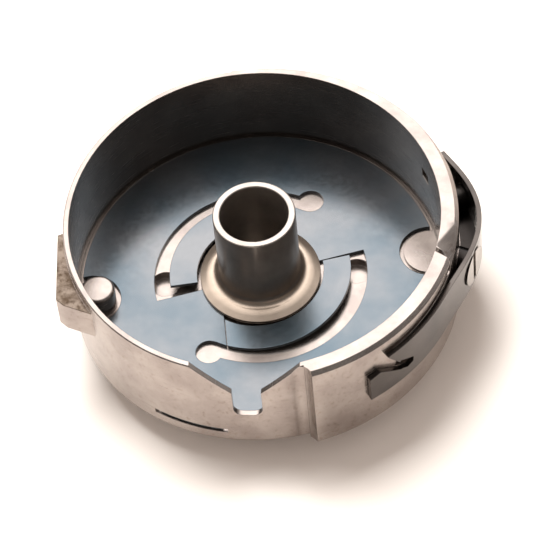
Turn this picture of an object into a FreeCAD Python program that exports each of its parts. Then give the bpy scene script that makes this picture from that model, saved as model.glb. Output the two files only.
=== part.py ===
"""Bobbin case of a rotary-hook sewing machine, open side up, standing on the boss of its latch.

Millimetres. +Z is the axis of the centre tube, pointing out of the open side. The needle notch
faces -Y. The origin is on that axis, in the plane of the rim. Angles are in degrees about +Z,
counted from +X.
"""

import FreeCAD
import Part
import math
import os

V = FreeCAD.Vector
X_AXIS = V(1, 0, 0)
Y_AXIS = V(0, 1, 0)
Z_AXIS = V(0, 0, 1)
ORIGIN = V(0, 0, 0)

# Driving dimensions: clearances
press_gap = 0.02
bend_gap = 0.04
slide_gap = 0.05
spring_gap = 0.05
screw_gap = 0.03
pin_gap = 0.03
swing_gap = 0.1

# Driving dimensions: stack of levels, from the rim downwards
rim = 0.0
inside_depth = 7.1
brake_thickness = 0.25
floor_thickness = 1.2
slide_thickness = 0.6
lever_to_slide = 0.85
lever_thickness = 0.85
lever_inset = 0.05

# Driving dimensions: case body
inside_radius = 13.3
thin_wall = 0.4
thick_wall = 1.25
bottom_round = 0.5
thin_rim_chamfer = 0.08
thick_rim_chamfer = 0.28
thick_start_angle = 287.5
thick_sweep = 172.5
thick_taper_offset = 0.87
thick_taper_angle = 290.0
boss_inset = 1.5
runout_radius = 0.9
runout_depth = 0.1
runout_offset_angle = 2.2
wedge_drop = 0.9
wedge_height = 2.7
wedge_start_angle = 183.5
wedge_end_angle = 216.0
wedge_corners = ((14.15, 184.5), (14.5, 196.5), (15.3, 206.3), (15.03, 209.0))

# Driving dimensions: needle notch in the thin wall, a funnel over a round-cornered slot
notch_angle = 270.0
notch_mouth_half = 3.85
notch_throat_half = 1.03
notch_throat_depth = 2.5
notch_depth = 5.1
notch_corner = 0.65

# Driving dimensions: thread slot through the thick wall
thread_slot_angle = 327.5
thread_slot_height = 0.45
thread_slot_low_drop = 1.45
thread_slot_high_drop = 0.95
thread_slot_back = 4.1
thread_slot_front = 4.0
thread_slot_rise = 0.75
rim_gap = 0.32
ramp_start_angle = 359.0
ramp_inner_angle = 348.5
ramp_end_angle = 344.5
ramp_depth = 0.85
ramp_overreach = 1.5
thread_slot_over_rim = 0.5

# Driving dimensions: centre tube
tube_radius = 2.975
tube_bore_radius = 2.45
tube_above_rim = 0.2
tube_edge_round = 0.12
collar_radius = 4.4
collar_neck_radius = 3.65
collar_edge_height = 0.2
collar_height = 0.55
collar_fillet = 0.65

# Driving dimensions: brake spring, a flat plate with two arms bent up out of it
brake_edge_gap = 0.25
brake_neck_gap = 0.1
arm_inner_gap = 0.25
arm_width = 2.0
window_gap = 1.15
arm_root_inner_angle = 238.5
arm_root_outer_angle = 251.5
arm_tip_angle = 372.5
window_end_angle = 377.5
arm_rise_angle = 3.5
arm_lead_angle = 20.0
keyhole_radius = 0.98
keyhole_inset = 0.15
keyhole_angle = 244.0
relief_radius = 2.2
relief_place_radius = 12.5
relief_angle = 10.5
stud_radius = 1.25
stud_place_radius = 11.9
stud_angle = 192.0
stud_above_plate = 1.7
stud_top_round = 0.3
stop_gap = 0.3
stop_below_plate = 0.08
pocket_radius = 1.1
pocket_offset = 0.35
pocket_angle = 5.0
pocket_depth = 0.7
ear_start_angle = 241.5
ear_sweep = 20.0
ear_recess = 0.12
ear_slit_margin_angle = 1.7
ear_slit_height = 0.4

# Driving dimensions: tension spring, a leaf round the outside of the thick wall
leaf_thickness = 0.35
leaf_start_angle = 304.9
leaf_end_angle = 388.0
leaf_bow_angle = 365.5
leaf_bow_half_angle = 30.0
leaf_bow_rise = 1.25
leaf_curve_steps = 24
pad_half_angle = 26.0
pad_height = 0.95
pad_above_leaf_foot = 0.15
screw_boss_wall = 0.35
leaf_top_drop = 1.5
leaf_height = 3.75
tongue_angle = 385.5
tongue_drop = 2.7
tongue_half_width = 0.4
tongue_half_height = 0.33
tongue_hole_margin = 0.12
tongue_end_wall = 0.3

# Driving dimensions: thread notch of the leaf, as turns from its middle and drops below the leaf's top edge
fork_angle = 312.0
fork_point = (-0.8, 0.1)
fork_corners = ((3.0, 1.55), (5.2, 2.35), (3.4, 2.5), (-3.6, 1.15))
fork_mouth_drop = 1.4
fork_mouth_overreach = 3.0
fork_eye_start = (3.2, 1.9)
fork_eye_end = (6.6, 2.45)
fork_eye_half = 0.42
thread_pocket_depth = 0.6

# Driving dimensions: the two screws of the leaf
screw_drop = 3.4
screw_blind_wall = 0.25
screw_end_gap = 0.1
screw_seat_gap = 0.06
tension_screw_angle = 353.0
tension_shank_radius = 0.75
tension_head_radius = 1.5
fixing_screw_angle = 377.0
fixing_shank_radius = 0.65
fixing_head_radius = 1.3
screw_head_height = 0.5
screw_slot_width = 0.45
screw_slot_depth = 0.28

# Driving dimensions: latch, along a line through the axis, towards its hinge
latch_angle = 205.0
channel_half_width = 4.2
slide_half_width = 5.0
slide_end_inset = 1.4
latch_hook_reach = 0.6
slide_travel = 1.2
hinge_inset = 2.3
pin_radius = 0.4
knuckle_radius = 0.75
ear_thickness = 0.7
hinge_ear_half_length = 0.85
hinge_ear_below_pin = 0.64
hinge_ear_root = 0.1
lever_half_width = 3.05
lever_tip_inset = 2.0
lever_tip_round = 2.2
lever_edge_chamfer = 0.15
nail_notch_radius = 3.4
nail_notch_depth = 0.9
nail_notch_rise = 1.6

# Driving dimensions: coil spring of the latch
coil_radius = 0.75
coil_wire_radius = 0.12
coil_turns = 7
coil_start_margin = 0.65
coil_end_margin = 1.1
coil_groove_gap = 0.08

# Reach of the shapes that cut holes, past what they cut
cut_past = 1.0
wall_cut_inset = 2.5
join_overlap = 0.01

# Levels that follow from the stack
brake_high = rim - inside_depth
brake_low = brake_high - brake_thickness
floor_high = brake_low - spring_gap
floor_low = floor_high - floor_thickness
slide_high = floor_low - slide_gap
slide_low = slide_high - slide_thickness
lever_high = slide_low - lever_to_slide
lever_low = lever_high - lever_thickness
boss_low = lever_low - lever_inset
below = boss_low - cut_past
above = rim + cut_past

# Radii and reaches that follow from the walls and the collar
thin_radius = inside_radius + thin_wall
thick_radius = inside_radius + thick_wall
boss_radius = inside_radius - boss_inset
slide_inner_reach = boss_radius - slide_end_inset
hinge_reach = boss_radius - hinge_inset
lever_reach = boss_radius - lever_tip_inset
coil_start_reach = tube_bore_radius + slide_travel + coil_start_margin
coil_length = slide_inner_reach - coil_end_margin - coil_start_reach
leaf_in_radius = thick_radius + spring_gap
leaf_out_radius = leaf_in_radius + leaf_thickness
brake_radius = inside_radius - brake_edge_gap
arm_inner_radius = collar_radius + arm_inner_gap
arm_outer_radius = arm_inner_radius + arm_width
window_outer_radius = arm_outer_radius + window_gap
keyhole_place_radius = window_outer_radius - keyhole_inset
pocket_place_radius = arm_outer_radius + pocket_offset
pin_level = slide_low - knuckle_radius - swing_gap
far = 3 * thick_radius
wall_cut_start = inside_radius - wall_cut_inset
leaf_screws = (
    (tension_screw_angle, tension_shank_radius, tension_head_radius),
    (fixing_screw_angle, fixing_shank_radius, fixing_head_radius),
)


def polar(radius, angle, level=0.0):
    a = math.radians(angle)
    return V(radius * math.cos(a), radius * math.sin(a), level)


def turned(shape, angle):
    """A copy of the shape turned about the tube axis."""
    copy = shape.copy()
    copy.rotate(ORIGIN, Z_AXIS, angle)
    return copy


def upright(radius, low, high, place=ORIGIN):
    return Part.makeCylinder(radius, high - low, V(place.x, place.y, low), Z_AXIS)


def sector(outer, inner, low, high, start, sweep):
    """A piece of a ring between two radii, two levels and two angles."""
    whole = Part.makeCylinder(outer, high - low, V(0, 0, low), Z_AXIS, sweep)
    return turned(whole, start).cut(upright(inner, low - cut_past, high + cut_past))


def block(x0, x1, y0, y1, z0, z1):
    return Part.makeBox(x1 - x0, y1 - y0, z1 - z0, V(x0, y0, z0))


def prism(points, direction):
    """A closed outline of straight sides, carried along a direction."""
    return Part.Face(Part.makePolygon(points + points[:1])).extrude(direction)


def through_wall(outline, angle):
    """A radial cutter, from an outline of (sideways, level) points that faces the wall at an angle."""
    points = [V(wall_cut_start, side, level) for side, level in outline]
    return turned(prism(points, X_AXIS * (far - wall_cut_start)), angle)


def revolved(edges, sweep=360.0):
    """An outline in the XZ plane, turned about the tube axis."""
    shape = Part.Face(Part.Wire(edges)).revolve(ORIGIN, Z_AXIS, sweep)
    if shape.Volume < 0:
        shape.reverse()
    return shape


def line(a, b):
    return Part.LineSegment(V(a[0], 0, a[1]), V(b[0], 0, b[1])).toShape()


def corner_arc(centre, radius, start, end):
    """An arc in the XZ plane about a centre, from one angle to another through their middle."""
    points = []
    for angle in (start, (start + end) / 2, end):
        a = math.radians(angle)
        points.append(V(centre[0] + radius * math.cos(a), 0, centre[1] + radius * math.sin(a)))
    return Part.Arc(*points).toShape()


def turned_blank(outer, rim_chamfer, sweep):
    """A solid blank with a rounded foot and a bevelled rim, as turned on a lathe."""
    foot = (outer - bottom_round, floor_low)
    return revolved(
        [
            line((0, floor_low), foot),
            corner_arc((foot[0], floor_low + bottom_round), bottom_round, -90, 0),
            line((outer, floor_low + bottom_round), (outer, rim - rim_chamfer)),
            line((outer, rim - rim_chamfer), (outer - rim_chamfer, rim)),
            line((outer - rim_chamfer, rim), (0, rim)),
            line((0, rim), (0, floor_low)),
        ],
        sweep,
    )


def leaf_bow(angle):
    """How far the leaf stands off its round path at an angle."""
    share = abs(angle - leaf_bow_angle) / leaf_bow_half_angle
    if share >= 1:
        return 0.0
    return leaf_bow_rise * (0.5 + 0.5 * math.cos(math.pi * share))


def leaf_facing(angle):
    """The direction that the leaf's outer face looks in at an angle."""
    step = 1.0
    run = polar(leaf_out_radius + leaf_bow(angle + step), angle + step)
    run = run - polar(leaf_out_radius + leaf_bow(angle - step), angle - step)
    return math.degrees(math.atan2(-run.x, run.y))


def square_to_leaf(shape, angle):
    """Sets a shape made along +X on the leaf's outer face, at the level of the screws."""
    seat = polar(leaf_out_radius + leaf_bow(angle) + spring_gap, angle, rim - screw_drop)
    placed = turned(shape, leaf_facing(angle))
    placed.translate(seat)
    return placed


def screw_bar(radius, angle, end):
    """A bar square to the leaf, from just short of the wall's inside to that far past the head's face."""
    face = leaf_out_radius + leaf_bow(angle) + spring_gap
    lean = math.cos(math.radians(leaf_facing(angle) - angle))
    depth = (face - inside_radius - screw_blind_wall) / lean
    return square_to_leaf(Part.makeCylinder(radius, depth + end, V(-depth, 0, 0), X_AXIS), angle)


def screw_seat(angle, shank, head):
    """What a screw needs cut away: its hole, and the cone that its head sits in."""
    wide = head + screw_seat_gap
    foot = V(-screw_head_height, 0, 0)
    cone = Part.makeCone(shank + screw_seat_gap, wide, screw_head_height, foot, X_AXIS)
    mouth = Part.makeCylinder(wide, screw_head_height, ORIGIN, X_AXIS)
    hole = screw_bar(shank + screw_gap, angle, screw_end_gap)
    return hole.fuse(square_to_leaf(cone.fuse(mouth), angle))


def needle_notch():
    """A funnel at the rim that narrows to a slot with a round-cornered bottom."""
    spread = (notch_mouth_half - notch_throat_half) / notch_throat_depth
    mouth = notch_mouth_half + spread * (above - rim)
    throat = rim - notch_throat_depth
    bottom = rim - notch_depth
    funnel = [(-mouth, above), (mouth, above), (notch_throat_half, throat), (-notch_throat_half, throat)]
    slot = [
        (-notch_throat_half, throat + join_overlap),
        (notch_throat_half, throat + join_overlap),
        (notch_throat_half, bottom + notch_corner),
        (notch_throat_half - notch_corner, bottom),
        (notch_corner - notch_throat_half, bottom),
        (-notch_throat_half, bottom + notch_corner),
    ]
    cutter = through_wall(funnel, notch_angle).fuse(through_wall(slot, notch_angle))
    for side in (-1, 1):
        start = V(wall_cut_start, side * (notch_throat_half - notch_corner), bottom + notch_corner)
        corner = Part.makeCylinder(notch_corner, far - wall_cut_start, start, X_AXIS)
        cutter = cutter.fuse(turned(corner, notch_angle))
    return cutter


def thread_slot():
    """A slot that enters at the rim, drops at a slant and runs along under a tongue of the wall."""
    half = thread_slot_height / 2
    low = rim - thread_slot_low_drop
    high = rim - thread_slot_high_drop
    back = thread_slot_back
    front = -thread_slot_front
    run = [(front, low - half), (back, high - half), (back, high + half), (front, low + half)]
    over = rim + thread_slot_over_rim
    entry = back + thread_slot_rise
    drop = [(back - rim_gap, high - half), (back, high - half), (entry, over), (entry - rim_gap, over)]
    return through_wall(run, thread_slot_angle).fuse(through_wall(drop, thread_slot_angle))


def thread_ramp():
    """A slanting facet on the rim's outer corner, down which the thread slips into its slot."""
    start = polar(thick_radius, ramp_start_angle, rim)
    inner = polar(inside_radius, ramp_inner_angle, rim)
    end = polar(thick_radius, ramp_end_angle, rim - ramp_depth)
    along = start - inner
    down = end - inner
    square = down.cross(along).normalize()
    corners = [inner, inner + along * ramp_overreach, inner + down * ramp_overreach]
    return prism(corners, square * thick_radius)


def guide_wedge():
    """A wedge on the outside of the thin wall that swells towards the front and ends in two facets."""
    root = inside_radius + thin_wall / 2
    low = rim - wedge_drop - wedge_height
    outline = [polar(root, wedge_start_angle, low)]
    outline += [polar(radius, angle, low) for radius, angle in wedge_corners]
    outline += [polar(thin_radius, wedge_end_angle, low), polar(root, wedge_end_angle, low), V(0, 0, low)]
    return prism(outline, Z_AXIS * wedge_height)


def floor_stud():
    """A round stud on the floor, which stands in the left bay of the brake spring's edge."""
    top = brake_high + stud_above_plate
    stud = upright(stud_radius, floor_low, top, polar(stud_place_radius, stud_angle))
    edge = [e for e in stud.Edges if e.BoundBox.ZMin > (floor_low + top) / 2]
    return stud.makeFillet(stud_top_round, edge)


def floor_stop():
    """A low round boss at the foot of the wall, which fills the right bay of the brake spring's edge."""
    place = polar(relief_place_radius, relief_angle)
    stop = upright(relief_radius - stop_gap, floor_low, brake_high - stop_below_plate, place)
    return stop.common(upright(inside_radius + thin_wall / 2, below, above))


def case_body():
    body = turned_blank(thin_radius, thin_rim_chamfer, 360.0)
    thick = turned(turned_blank(thick_radius, thick_rim_chamfer, thick_sweep), thick_start_angle)
    taper = upright(thick_radius, below, above, polar(thick_taper_offset, thick_taper_angle))
    body = body.fuse(thick.common(taper))
    body = body.fuse(upright(boss_radius, boss_low, floor_high))
    body = body.fuse(guide_wedge())
    body = body.fuse(leaf_pad())
    body = body.cut(upright(inside_radius, floor_high, above))
    runout = polar(thin_radius - runout_depth + runout_radius, thick_start_angle - runout_offset_angle)
    body = body.cut(upright(runout_radius, floor_low - cut_past, above, runout))
    body = body.cut(upright(tube_radius + press_gap, below, above))
    body = body.cut(needle_notch())
    body = body.cut(thread_slot())
    body = body.cut(thread_ramp())
    eye = fork_cutters()[1]
    body = body.cut(eye.cut(upright(thick_radius - thread_pocket_depth, below, above)))
    body = body.cut(latch_channel())
    body = body.fuse(floor_stud()).fuse(floor_stop())
    for turn in (0, 180):
        place = polar(pocket_place_radius, pocket_angle + turn)
        body = body.cut(upright(pocket_radius, floor_high - pocket_depth, brake_low, place))
    slit_low = brake_low - (ear_slit_height - brake_thickness) / 2
    slit = sector(
        far,
        wall_cut_start,
        slit_low,
        slit_low + ear_slit_height,
        ear_start_angle - ear_slit_margin_angle,
        ear_sweep + 2 * ear_slit_margin_angle,
    )
    body = body.cut(slit)
    for angle, shank, head in leaf_screws:
        body = body.cut(screw_seat(angle, shank, head))
    side = tongue_half_width + tongue_hole_margin
    half = tongue_half_height + tongue_hole_margin
    level = rim - tongue_drop
    hole = [(-side, level - half), (side, level - half), (side, level + half), (-side, level + half)]
    body = body.cut(through_wall(hole, tongue_angle))
    return body.removeSplitter()


def latch_channel():
    """The undercut guideway of the slide, open at the hinge end, and the groove of the coil spring."""
    reach = slide_inner_reach + slide_gap
    mouth = block(-far, far, -channel_half_width, channel_half_width, below, slide_low - slide_gap)
    wide = slide_half_width + slide_gap
    undercut = block(-reach, far, -wide, wide, slide_low - slide_gap, floor_low)
    start = coil_start_reach - coil_groove_gap
    end = coil_start_reach + coil_length + coil_groove_gap
    half = coil_radius + coil_groove_gap
    groove = Part.makeCylinder(half, end - start, V(-end, 0, coil_level()), X_AXIS)
    cutter = mouth.fuse(undercut).fuse(groove)
    return turned(cutter.common(upright(far, below, floor_high)), latch_angle)


def coil_level():
    return (slide_low + slide_high) / 2


def centre_tube():
    top = rim + tube_above_rim
    collar_low = brake_high + spring_gap
    collar_edge = collar_low + collar_edge_height
    collar_top = collar_low + collar_height
    edge = tube_edge_round
    fillet = collar_fillet
    return revolved(
        [
            line((tube_bore_radius, floor_low), (tube_radius, floor_low)),
            line((tube_radius, floor_low), (tube_radius, floor_high)),
            line((tube_radius, floor_high), (collar_neck_radius, floor_high)),
            line((collar_neck_radius, floor_high), (collar_neck_radius, collar_low)),
            line((collar_neck_radius, collar_low), (collar_radius, collar_low)),
            line((collar_radius, collar_low), (collar_radius, collar_edge)),
            line((collar_radius, collar_edge), (tube_radius + fillet, collar_top)),
            corner_arc((tube_radius + fillet, collar_top + fillet), fillet, 270, 180),
            line((tube_radius, collar_top + fillet), (tube_radius, top - edge)),
            corner_arc((tube_radius - edge, top - edge), edge, 0, 90),
            line((tube_radius - edge, top), (tube_bore_radius + edge, top)),
            corner_arc((tube_bore_radius + edge, top - edge), edge, 90, 180),
            line((tube_bore_radius, top - edge), (tube_bore_radius, floor_low)),
        ]
    )


def arm_root():
    """The two ends of the straight line at which the front arm is bent out of the plate."""
    inner = polar(arm_inner_radius, arm_root_inner_angle, brake_low)
    outer = polar(arm_outer_radius, arm_root_outer_angle, brake_low)
    return inner, outer


def beyond_root(gap):
    """A half space on the arm's side of its bend line, that far from the line."""
    inner, outer = arm_root()
    along = (outer - inner).normalize()
    across = V(-along.y, along.x, 0)
    start = inner - along * far + across * gap
    end = start + along * 2 * far
    corners = [start, end, end + across * 2 * far, start + across * 2 * far]
    return prism([V(c.x, c.y, below) for c in corners], Z_AXIS * (above - below))


def arm_flat():
    """The front arm as it lies when it is pressed flat into its window."""
    start = arm_root_inner_angle - arm_lead_angle
    ring = sector(arm_outer_radius, arm_inner_radius, brake_low, brake_high, start, arm_tip_angle - start)
    return ring.common(beyond_root(bend_gap))


def brake_arm(turn):
    inner, outer = arm_root()
    arm = arm_flat()
    middle = (inner + outer) / 2 + Z_AXIS * (brake_thickness / 2)
    arm.rotate(middle, outer - inner, arm_rise_angle)
    return turned(arm, turn)


def brake_plate():
    plate = upright(brake_radius, brake_low, brake_high)
    plate = plate.cut(upright(collar_neck_radius + brake_neck_gap, below, above))
    start = arm_root_inner_angle - arm_lead_angle
    sweep = window_end_angle - start
    window = sector(window_outer_radius, tube_bore_radius, below, above, start, sweep)
    window = window.common(beyond_root(0.0))
    sweep = window_end_angle - keyhole_angle
    window = window.fuse(sector(window_outer_radius, arm_outer_radius, below, above, keyhole_angle, sweep))
    for turn in (0, 180):
        keyhole = polar(keyhole_place_radius, keyhole_angle + turn)
        relief = polar(relief_place_radius, relief_angle + turn)
        plate = plate.cut(turned(window, turn))
        plate = plate.cut(upright(keyhole_radius, below, above, keyhole))
        plate = plate.cut(upright(relief_radius, below, above, relief))
    reach = thin_radius - ear_recess
    ear = sector(reach, wall_cut_start, brake_low, brake_high, ear_start_angle, ear_sweep)
    return plate.fuse(ear).removeSplitter()


def fork_cutters():
    """The thread notch at the free end of the leaf: a slanting mouth and the eye that it leads into."""
    top = rim - leaf_top_drop

    def on_leaf(turn, drop):
        return leaf_out_radius * math.sin(math.radians(turn)), top - drop

    end_turn = leaf_start_angle - fork_angle
    past_end = end_turn - fork_mouth_overreach
    mouth = [on_leaf(past_end, -cut_past), on_leaf(fork_point[0], -cut_past), on_leaf(*fork_point)]
    mouth += [on_leaf(*corner) for corner in fork_corners]
    mouth += [on_leaf(end_turn, fork_mouth_drop), on_leaf(past_end, fork_mouth_drop)]
    start = V(0, *on_leaf(*fork_eye_start))
    end = V(0, *on_leaf(*fork_eye_end))
    along = (end - start).normalize() * fork_eye_half
    across = V(0, -along.z, along.y)
    corners = [start - along / 2 + across, end + along / 2 + across, end + along]
    corners += [end - across, start - across]
    eye = [(corner.y, corner.z) for corner in corners]
    return [through_wall(mouth, fork_angle), through_wall(eye, fork_angle)]


def leaf_curve(radius, start, end, level):
    """A line seen from above: round the wall at the leaf's free end, bowed outwards under the screws."""
    points = []
    for step in range(leaf_curve_steps + 1):
        angle = start + (end - start) * step / leaf_curve_steps
        points.append(polar(radius + leaf_bow(angle), angle, level))
    curve = Part.BSplineCurve()
    curve.interpolate(points)
    return curve.toShape(), points[0], points[-1]


def leaf_pad():
    """The ledge of the wall under the bow of the leaf, and the bosses that take its screws."""
    foot = rim - leaf_top_drop - leaf_height + pad_above_leaf_foot
    start = leaf_bow_angle - pad_half_angle
    end = leaf_bow_angle + pad_half_angle
    front, first, last = leaf_curve(thick_radius, start, end, foot)
    centre = V(0, 0, foot)
    sides = [Part.makeLine(last, centre), Part.makeLine(centre, first)]
    pad = Part.Face(Part.Wire([front] + sides)).extrude(Z_AXIS * pad_height)
    for angle, shank, _ in leaf_screws:
        pad = pad.fuse(screw_bar(shank + screw_boss_wall, angle, -leaf_thickness - 2 * spring_gap))
    return pad


def tension_spring():
    foot = rim - leaf_top_drop - leaf_height
    inner, inner_start, inner_end = leaf_curve(leaf_in_radius, leaf_start_angle, leaf_end_angle, foot)
    outer, outer_start, outer_end = leaf_curve(leaf_out_radius, leaf_start_angle, leaf_end_angle, foot)
    ends = [Part.makeLine(inner_end, outer_end), Part.makeLine(outer_start, inner_start)]
    outline = Part.Wire(Part.__sortEdges__([inner, outer] + ends))
    leaf = Part.Face(outline).extrude(Z_AXIS * leaf_height)
    for cutter in fork_cutters():
        leaf = leaf.cut(cutter)
    level = rim - tongue_drop
    tongue = block(
        inside_radius + tongue_end_wall,
        leaf_in_radius + leaf_bow(tongue_angle) + leaf_thickness / 2,
        -tongue_half_width,
        tongue_half_width,
        level - tongue_half_height,
        level + tongue_half_height,
    )
    leaf = leaf.fuse(turned(tongue, tongue_angle))
    for angle, shank, head in leaf_screws:
        leaf = leaf.cut(screw_seat(angle, shank, head))
    return leaf.removeSplitter()


def countersunk_screw(angle, shank, head):
    """A screw square to the leaf, its cone let into it, with its slot upright."""
    cone = Part.makeCone(shank, head, screw_head_height, V(-screw_head_height, 0, 0), X_AXIS)
    screw = square_to_leaf(cone, angle).fuse(screw_bar(shank, angle, -screw_head_height / 2))
    half = screw_slot_width / 2
    slot = block(-screw_slot_depth, far, -half, half, -far, far)
    return screw.cut(square_to_leaf(slot, angle)).removeSplitter()


def latch_slide():
    """The slide: a plate with a keyhole for the hook stud, a window for the coil and two hinge ears."""
    half = slide_half_width
    plate = block(-slide_inner_reach, boss_radius, -half, half, slide_low, slide_high)
    slide = plate.common(upright(boss_radius, slide_low, slide_high))
    for reach in (latch_hook_reach, slide_travel):
        slide = slide.cut(upright(tube_bore_radius, below, above, V(-reach, 0, 0)))
    half = tube_bore_radius
    slide = slide.cut(block(-slide_travel, -latch_hook_reach, -half, half, below, above))
    start = coil_start_reach - coil_groove_gap
    end = coil_start_reach + coil_length + coil_groove_gap
    half = coil_radius + coil_groove_gap
    slide = slide.cut(block(-end, -start, -half, half, below, above))
    near = lever_half_width + swing_gap
    for side in (-1, 1):
        edge = sorted((side * near, side * (near + ear_thickness)))
        ear = block(
            hinge_reach - hinge_ear_half_length,
            hinge_reach + hinge_ear_half_length,
            edge[0],
            edge[1],
            pin_level - hinge_ear_below_pin,
            slide_low + hinge_ear_root,
        )
        slide = slide.fuse(ear)
    hole = Part.makeCylinder(pin_radius + press_gap, 2 * far, V(hinge_reach, -far, pin_level), Y_AXIS)
    return turned(slide.cut(hole).removeSplitter(), latch_angle)


def latch_lever():
    """The flap: flat, with a round tip, a nail notch and a rolled knuckle at its pin."""
    half = lever_half_width
    flap = block(-lever_reach, hinge_reach, -half, half, lever_low, lever_high)
    upright_edges = [e for e in flap.Edges if e.BoundBox.ZLength > lever_thickness / 2]
    tips = [e for e in upright_edges if e.BoundBox.XMax < 0]
    flap = flap.makeFillet(lever_tip_round, tips)
    low_edges = [e for e in flap.Edges if e.BoundBox.ZMax < lever_low + lever_thickness / 2]
    under = [e for e in low_edges if e.BoundBox.XMin < hinge_reach - knuckle_radius]
    flap = flap.makeChamfer(lever_edge_chamfer, under)
    flap = flap.fuse(Part.makeCylinder(knuckle_radius, 2 * half, V(hinge_reach, -half, pin_level), Y_AXIS))
    nail_reach = lever_reach + nail_notch_radius - nail_notch_depth
    flap = flap.cut(Part.makeSphere(nail_notch_radius, V(-nail_reach, 0, lever_high + nail_notch_rise)))
    hole = Part.makeCylinder(pin_radius + pin_gap, 2 * far, V(hinge_reach, -far, pin_level), Y_AXIS)
    return turned(flap.cut(hole).removeSplitter(), latch_angle)


def latch_pin():
    half = lever_half_width + swing_gap + ear_thickness
    pin = Part.makeCylinder(pin_radius, 2 * half, V(hinge_reach, -half, pin_level), Y_AXIS)
    return turned(pin, latch_angle)


def coil_spring():
    """One unbroken wire, wound as quarter-turn arcs along the latch line."""
    middle = coil_radius - coil_wire_radius
    run = coil_length - 2 * coil_wire_radius
    start = -(coil_start_reach + coil_wire_radius)
    step = run / coil_turns / 8

    def point(eighths):
        a = math.radians(45 * eighths)
        return V(start - step * eighths, middle * math.cos(a), coil_level() + middle * math.sin(a))

    arcs = []
    for k in range(0, 8 * coil_turns, 2):
        arcs.append(Part.Arc(point(k), point(k + 1), point(k + 2)).toShape())
    path = Part.Wire(arcs)
    tangent = arcs[0].tangentAt(arcs[0].FirstParameter)
    section = Part.Wire([Part.makeCircle(coil_wire_radius, point(0), tangent)])
    coil = path.makePipeShell([section], True, False)
    gap = run / coil_turns - 2 * coil_wire_radius
    print(f"coil spring: turns {gap:.2f} mm apart, volume {coil.Volume:.3f} mm3")
    return turned(Part.Solid(coil) if coil.ShapeType == "Shell" else coil, latch_angle)


def main():
    os.makedirs("parts", exist_ok=True)
    pieces = {
        "case_body": case_body(),
        "centre_tube": centre_tube(),
        "brake_spring_plate": brake_plate(),
        "brake_spring_arm_front": brake_arm(0),
        "brake_spring_arm_rear": brake_arm(180),
        "tension_spring": tension_spring(),
        "tension_screw": countersunk_screw(*leaf_screws[0]),
        "spring_fixing_screw": countersunk_screw(*leaf_screws[1]),
        "latch_slide": latch_slide(),
        "latch_lever": latch_lever(),
        "latch_pin": latch_pin(),
        "latch_coil_spring": coil_spring(),
    }
    for name, shape in pieces.items():
        box = shape.BoundBox
        print(
            f"{name}: solids {len(shape.Solids)} valid {shape.isValid()} volume {shape.Volume:.3f} "
            f"z {box.ZMin:.2f}..{box.ZMax:.2f} "
            f"x {box.XMin:.2f}..{box.XMax:.2f} y {box.YMin:.2f}..{box.YMax:.2f}"
        )
        shape.exportStep(f"parts/{name}.step")


main()
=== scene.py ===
import math

import bpy
from mathutils import Matrix, Vector


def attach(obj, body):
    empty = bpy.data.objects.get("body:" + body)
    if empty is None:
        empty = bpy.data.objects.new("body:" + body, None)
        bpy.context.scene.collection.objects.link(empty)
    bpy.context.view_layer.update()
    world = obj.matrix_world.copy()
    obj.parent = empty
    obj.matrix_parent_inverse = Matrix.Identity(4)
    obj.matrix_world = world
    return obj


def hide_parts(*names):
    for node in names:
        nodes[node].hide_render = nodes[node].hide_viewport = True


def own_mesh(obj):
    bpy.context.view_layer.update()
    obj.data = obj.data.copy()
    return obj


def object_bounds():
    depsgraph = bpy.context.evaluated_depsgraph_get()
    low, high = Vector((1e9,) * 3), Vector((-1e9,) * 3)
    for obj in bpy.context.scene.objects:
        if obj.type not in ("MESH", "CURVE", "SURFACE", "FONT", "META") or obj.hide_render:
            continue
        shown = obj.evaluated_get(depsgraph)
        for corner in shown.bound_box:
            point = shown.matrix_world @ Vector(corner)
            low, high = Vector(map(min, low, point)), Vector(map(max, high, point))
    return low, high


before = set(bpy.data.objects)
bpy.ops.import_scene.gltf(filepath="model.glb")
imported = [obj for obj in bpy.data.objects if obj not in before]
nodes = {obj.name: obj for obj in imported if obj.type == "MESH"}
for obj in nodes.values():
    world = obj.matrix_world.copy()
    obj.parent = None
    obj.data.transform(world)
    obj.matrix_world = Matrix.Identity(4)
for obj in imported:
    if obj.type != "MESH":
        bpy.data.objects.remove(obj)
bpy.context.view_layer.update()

MM = 0.001
scene = bpy.context.scene


def to_linear(colour):
    """A six-digit sRGB hex colour as a linear RGBA tuple."""
    channels = [int(colour[i:i + 2], 16) / 255 for i in (0, 2, 4)]
    linear = [c / 12.92 if c <= 0.04045 else ((c + 0.055) / 1.055) ** 2.4 for c in channels]
    return (*linear, 1.0)


def add(tree, kind, **inputs):
    """Adds a shader node. Names ending in _ are its properties, the rest are values of its sockets."""
    node = tree.nodes.new("ShaderNode" + kind)
    for name, value in inputs.items():
        if name.endswith("_"):
            setattr(node, name[:-1], value)
        else:
            node.inputs[name.replace("_", " ")].default_value = value
    return node


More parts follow.
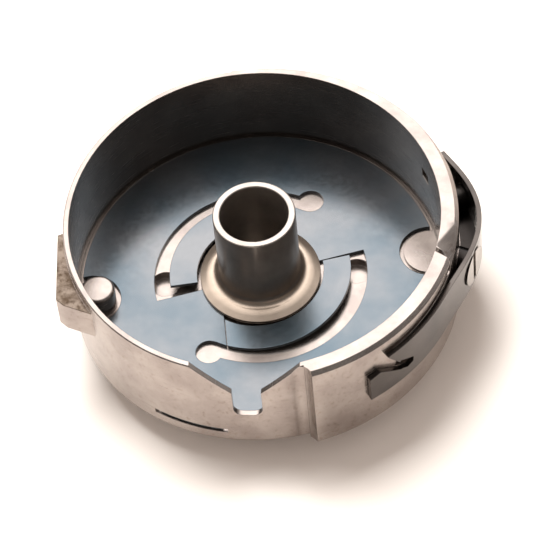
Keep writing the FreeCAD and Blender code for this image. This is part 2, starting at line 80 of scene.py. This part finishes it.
def metal(name, dark, light, rough, lines, fleck, bump):
    """A machined metal: colour drifting between two shades, with drawn lines and fine flecks in its gloss.

    rough is the lowest and highest roughness. lines is the stretch of the marks along X, Y and Z, as
    repeats per millimetre. fleck is the repeats per millimetre of the slow drift in colour. A tenth of
    the surface is a dull film of oil and dust."""
    material = bpy.data.materials.new(name)
    material.use_nodes = True
    tree = material.node_tree
    shader = tree.nodes["Principled BSDF"]
    clean_share = 0.9
    shader.inputs["Metallic"].default_value = clean_share
    place = add(tree, "TexCoord")
    drift = add(tree, "TexNoise", Scale=fleck / MM, Detail=4.0, Roughness=0.55)
    tint = add(tree, "ValToRGB")
    drift_levels = (0.35, 0.65)
    for stop, level, colour in zip(tint.color_ramp.elements, drift_levels, (dark, light)):
        stop.position = level
        stop.color = to_linear(colour)
    stretch = add(tree, "Mapping", Scale=[n / MM for n in lines])
    marks = add(tree, "TexNoise", Scale=1.0, Detail=3.0, Roughness=0.6)
    mark_levels = (0.3, 0.7)
    low, high = mark_levels
    gloss = add(tree, "MapRange", From_Min=low, From_Max=high, To_Min=rough[0], To_Max=rough[1])
    edge_round = 0.06 * MM
    mark_depth = 0.004 * MM
    edge = add(tree, "Bevel", samples_=6, Radius=edge_round)
    relief = add(tree, "Bump", Strength=bump, Distance=mark_depth)
    join = tree.links.new
    join(place.outputs["Object"], drift.inputs["Vector"])
    join(drift.outputs["Fac"], tint.inputs["Fac"])
    join(tint.outputs["Color"], shader.inputs["Base Color"])
    join(place.outputs["Object"], stretch.inputs["Vector"])
    join(stretch.outputs["Vector"], marks.inputs["Vector"])
    join(marks.outputs["Fac"], gloss.inputs["Value"])
    join(gloss.outputs["Result"], shader.inputs["Roughness"])
    join(marks.outputs["Fac"], relief.inputs["Height"])
    join(edge.outputs["Normal"], relief.inputs["Normal"])
    join(relief.outputs["Normal"], shader.inputs["Normal"])
    return material


def shade_zone(material, colour, reach, sideways, height, spots=None):
    """Darkens a metal by a colour, within limits in mm of its distance from the axis, its X and its Z.

    spots breaks the zone up into stains: their repeats per millimetre, and the lowest and highest level
    of noise between which a stain comes in."""
    tree = material.node_tree
    shader = tree.nodes["Principled BSDF"]
    usual = shader.inputs["Base Color"].links[0].from_socket
    place = add(tree, "TexCoord")
    axes = add(tree, "SeparateXYZ")
    flat = add(tree, "VectorMath", operation_="MULTIPLY")
    flat.inputs[1].default_value = (1.0, 1.0, 0.0)
    length = add(tree, "VectorMath", operation_="LENGTH")
    join = tree.links.new
    join(place.outputs["Object"], flat.inputs[0])
    join(place.outputs["Object"], axes.inputs[0])
    join(flat.outputs["Vector"], length.inputs[0])
    shares = []
    spans = ((length.outputs["Value"], reach), (axes.outputs["X"], sideways), (axes.outputs["Z"], height))
    for value, limits in spans:
        middle = (limits[0] + limits[1]) / 2
        within = add(tree, "Math", operation_="COMPARE")
        within.inputs[1].default_value = middle * MM
        within.inputs[2].default_value = (limits[1] - middle) * MM
        join(value, within.inputs[0])
        shares.append(within.outputs[0])
    if spots:
        cloud = add(tree, "TexNoise", Scale=spots[0] / MM, Detail=3.0, Roughness=0.6)
        stain = add(tree, "MapRange", From_Min=spots[1], From_Max=spots[2], To_Min=0.0, To_Max=1.0)
        join(place.outputs["Object"], cloud.inputs["Vector"])
        join(cloud.outputs["Fac"], stain.inputs["Value"])
        shares.append(stain.outputs["Result"])
    share = shares[0]
    for other in shares[1:]:
        both = add(tree, "Math", operation_="MULTIPLY")
        join(share, both.inputs[0])
        join(other, both.inputs[1])
        share = both.outputs[0]
    factor, colour_a, colour_b, colour_out = 0, 6, 7, 2
    mix = add(tree, "Mix", data_type_="RGBA", blend_type_="MULTIPLY")
    mix.inputs[colour_b].default_value = to_linear(colour)
    join(share, mix.inputs[factor])
    join(usual, mix.inputs[colour_a])
    join(mix.outputs[colour_out], shader.inputs["Base Color"])


def dress(piece, material):
    """Gives a piece its finish, with its facets joined into smooth faces between real edges."""
    piece.data.materials.clear()
    piece.data.materials.append(material)
    for face in piece.data.polygons:
        face.use_smooth = True
    same_point = 0.0005 * MM
    weld = piece.modifiers.new("joined", "WELD")
    weld.merge_threshold = same_point
    real_edge = math.radians(30)
    edges = piece.modifiers.new("edges", "EDGE_SPLIT")
    edges.split_angle = real_edge


# Case body: a cup turned from steel and ground, with a warm grey satin skin and fine turning lines
# round its walls. Everything else is fixed to it. The inside wall is darkened with painted shade, the
# ledge deep in the channel behind the leaf is painted nearly black as shade, the top of the guide wedge
# is darkened with painted shade and speckled with stains, and the outside has small pits.
case_steel = metal(
    "turned_case_steel", "988d87", "aaa099", rough=(0.2, 0.28), lines=(0.3, 0.3, 12.0), fleck=0.5, bump=0.08
)
# Painted shade: the inside wall of the cup is darkened.
shade_zone(case_steel, "c4c4c3", reach=(13.2, 13.31), sideways=(-20, 20), height=(-7.4, -0.01))
# Painted shade: the ledge deep in the channel behind the leaf is painted nearly black.
shade_zone(case_steel, "474646", reach=(14.6, 20), sideways=(0, 20), height=(-6, -0.9))
wedge_top = {"reach": (13.72, 20), "sideways": (-20, -10), "height": (-1.0, -0.8)}
# Painted shade: the top of the guide wedge is darkened evenly; the speckled stains on the next line are its
# own marks.
shade_zone(case_steel, "b4aca2", **wedge_top)
shade_zone(case_steel, "a3988a", spots=(1.6, 0.36, 0.64), **wedge_top)
outer_wall = {"reach": (13.6, 15), "sideways": (-20, 20), "height": (-9, -0.1)}
shade_zone(case_steel, "dcd3cd", spots=(3.2, 0.56, 0.74), **outer_wall)
dress(nodes["case_body"], case_steel)

# Centre tube: drawn and polished steel, pressed into the floor. Its collar, straw-coloured from
# tempering, holds the brake spring down.
tube_steel = metal(
    "polished_tube_steel", "a39a92", "b6ada5", rough=(0.28, 0.34), lines=(0.4, 0.4, 9.0), fleck=0.4, bump=0.01
)
shade_zone(tube_steel, "fff4e8", reach=(3.1, 8), sideways=(-20, 20), height=(-9, -5))
dress(nodes["centre_tube"], tube_steel)

# Brake spring plate: thin spring steel, blued by tempering, held under the tube's collar, with an ear
# in the slit of the wall.
blued_steel = metal(
    "blued_spring_steel", "57636b", "77787a", rough=(0.2, 0.27), lines=(3.0, 3.0, 3.0), fleck=0.12, bump=0.03
)
dress(nodes["brake_spring_plate"], blued_steel)

# Brake spring arms: tongues of the same blued stamping, bent up at their roots so that they press
# on the bobbin.
dress(nodes["brake_spring_arm_front"], blued_steel)
dress(nodes["brake_spring_arm_rear"], blued_steel)

# Tension spring: a hard, polished leaf, bowed round the thick wall and held by its two screws and
# a tongue in the wall.
# The leaf's dark grey colour is a painted reflection: it is darkened to stand for the dark surroundings its
# polished faces mirror.
leaf_steel = metal(
    "polished_leaf_steel", "433e3b", "56504c", rough=(0.12, 0.18), lines=(0.4, 0.4, 9.0), fleck=0.3, bump=0.05
)
dress(nodes["tension_spring"], leaf_steel)

# Tension screw and fixing screw: turned from bright steel, countersunk into the leaf and screwed
# into the bosses of the wall.
screw_steel = metal(
    "bright_screw_steel", "8f8984", "aaa39d", rough=(0.14, 0.24), lines=(6.0, 6.0, 6.0), fleck=0.6, bump=0.15
)
dress(nodes["tension_screw"], screw_steel)
dress(nodes["spring_fixing_screw"], screw_steel)

# Latch slide: stamped from steel strip and ground along its length. It runs in the guideway under
# the floor.
latch_steel = metal(
    "ground_latch_steel", "968f89", "ada59e", rough=(0.2, 0.3), lines=(9.0, 1.5, 9.0), fleck=0.3, bump=0.2
)
dress(nodes["latch_slide"], latch_steel)

# Latch lever: the flap that is lifted by its round end, of the same ground strip, on its hinge pin.
dress(nodes["latch_lever"], latch_steel)

# Latch pin: a length of bright drawn rod, pressed into the ears of the slide.
dress(nodes["latch_pin"], screw_steel)

# Latch coil spring: hard-drawn wire, in its groove between the slide and the floor. Its inner end
# bears on the case, and the slide squeezes it towards that end by the slide's travel.
wire_steel = metal(
    "drawn_spring_wire", "77716c", "948d87", rough=(0.2, 0.3), lines=(9.0, 9.0, 9.0), fleck=1.2, bump=0.1
)
coil = bpy.data.objects.new("coil_wire", nodes["latch_coil_spring"].data.copy())
scene.collection.objects.link(coil)
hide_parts("latch_coil_spring")
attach(coil, "case")
dress(coil, wire_steel)
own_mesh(coil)

# Floor: a plain pale sheet that the case lies on.
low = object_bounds()[0][2]
floor_mesh = bpy.data.meshes.new("floor")
half = 2.0
floor_mesh.from_pydata(
    [(-half, -half, low), (half, -half, low), (half, half, low), (-half, half, low)], [], [(0, 1, 2, 3)]
)
floor = bpy.data.objects.new("floor", floor_mesh)
scene.collection.objects.link(floor)
paper = bpy.data.materials.new("pale_floor")
paper.use_nodes = True
paper_shader = paper.node_tree.nodes["Principled BSDF"]
paper_shader.inputs["Base Color"].default_value = to_linear("fffaf5")
paper_shader.inputs["Roughness"].default_value = 0.9
paper_shader.inputs["Specular IOR Level"].default_value = 0.0
floor_mesh.materials.append(paper)

# Camera: above the front, as in the photograph, found from the ellipses of the rim, the tube and the plate.
photo_width_px = 560
focal_px = 3089.89
distance = 220 * MM
elevation = math.radians(53.15)
roll = math.radians(5.92)
azimuth = math.radians(7.5)
axis_px = (254.01, 215.54)
back = Vector((0, -math.cos(elevation), math.sin(elevation)))
level_right = Vector((1, 0, 0))
level_up = Vector((0, math.sin(elevation), math.cos(elevation)))
right = level_right * math.cos(roll) - level_up * math.sin(roll)
up = level_right * math.sin(roll) + level_up * math.cos(roll)
middle_px = photo_width_px / 2
place = back * distance
place -= right * ((axis_px[0] - middle_px) / focal_px * distance)
place += up * ((axis_px[1] - middle_px) / focal_px * distance)
turn = Matrix.Rotation(azimuth, 4, "Z")
stance = Matrix((right, up, back)).transposed().to_4x4()
stance.translation = place
lens = bpy.data.cameras.new("camera")
lens.sensor_width = 36.0
lens.lens = focal_px / photo_width_px * lens.sensor_width
lens.clip_start = 0.005
camera = bpy.data.objects.new("camera", lens)
camera.matrix_world = turn @ stance
scene.collection.objects.link(camera)
scene.camera = camera


def soft_light(name, direction, distance, size, watts, colour):
    """A square soft box that looks at the part from an azimuth and an elevation in degrees."""
    around, over = (math.radians(a) for a in direction)
    lamp = bpy.data.lights.new(name, "AREA")
    lamp.size = size
    lamp.energy = watts
    lamp.color = to_linear(colour)[:3]
    box = bpy.data.objects.new(name, lamp)
    away = Vector((math.cos(over) * math.cos(around), math.cos(over) * math.sin(around), math.sin(over)))
    box.location = away * distance
    box.rotation_euler = away.to_track_quat("Z", "Y").to_euler()
    box.visible_glossy = False
    scene.collection.objects.link(box)


# Light: a large soft box behind on the left.
soft_light("key", direction=(125, 69), distance=0.5, size=0.25, watts=3.4, colour="fffcf9")


def towards(around, over):
    """The unit vector at an azimuth and an elevation in degrees."""
    around, over = math.radians(around), math.radians(over)
    return (math.cos(over) * math.cos(around), math.cos(over) * math.sin(around), math.sin(over))


def glow(tree, direction, inner, outer, strength):
    """A soft patch of the room: full within inner degrees of a direction, none past outer degrees."""
    place = add(tree, "TexCoord")
    nearness = add(tree, "VectorMath", operation_="DOT_PRODUCT")
    nearness.inputs[1].default_value = direction
    fade = add(tree, "MapRange", interpolation_type_="SMOOTHSTEP", To_Min=0.0, To_Max=strength)
    fade.inputs["From Min"].default_value = math.cos(math.radians(outer))
    fade.inputs["From Max"].default_value = math.cos(math.radians(inner))
    tree.links.new(place.outputs["Generated"], nearness.inputs[0])
    tree.links.new(nearness.outputs["Value"], fade.inputs["Value"])
    return fade.outputs["Result"]


# Room: an even warm white, but polished metal mirrors a bright window behind and a dim front.
world = bpy.data.worlds.new("studio")
scene.world = world
world.use_nodes = True
tree = world.node_tree
room = tree.nodes["Background"]
room.inputs["Color"].default_value = to_linear("fff0e6")
room.inputs["Strength"].default_value = 0.58
mirrored = add(tree, "Background")
window = glow(tree, towards(105, 55), inner=14, outer=55, strength=3.1)
dim = glow(tree, towards(277.5, 50), inner=55, outer=95, strength=-0.27)
total = add(tree, "Math", operation_="ADD")
even_mirrored = 0.5
base = add(tree, "Math", operation_="ADD")
base.inputs[1].default_value = even_mirrored
tree.links.new(window, total.inputs[0])
tree.links.new(dim, total.inputs[1])
tree.links.new(total.outputs[0], base.inputs[0])
mirrored.inputs["Color"].default_value = to_linear("fffdfc")
tree.links.new(base.outputs[0], mirrored.inputs["Strength"])
rays = add(tree, "LightPath")
choice = add(tree, "MixShader")
tree.links.new(rays.outputs["Is Glossy Ray"], choice.inputs["Fac"])
tree.links.new(room.outputs[0], choice.inputs[1])
tree.links.new(mirrored.outputs[0], choice.inputs[2])
tree.links.new(choice.outputs[0], tree.nodes["World Output"].inputs["Surface"])
scene.view_settings.view_transform = "Standard"
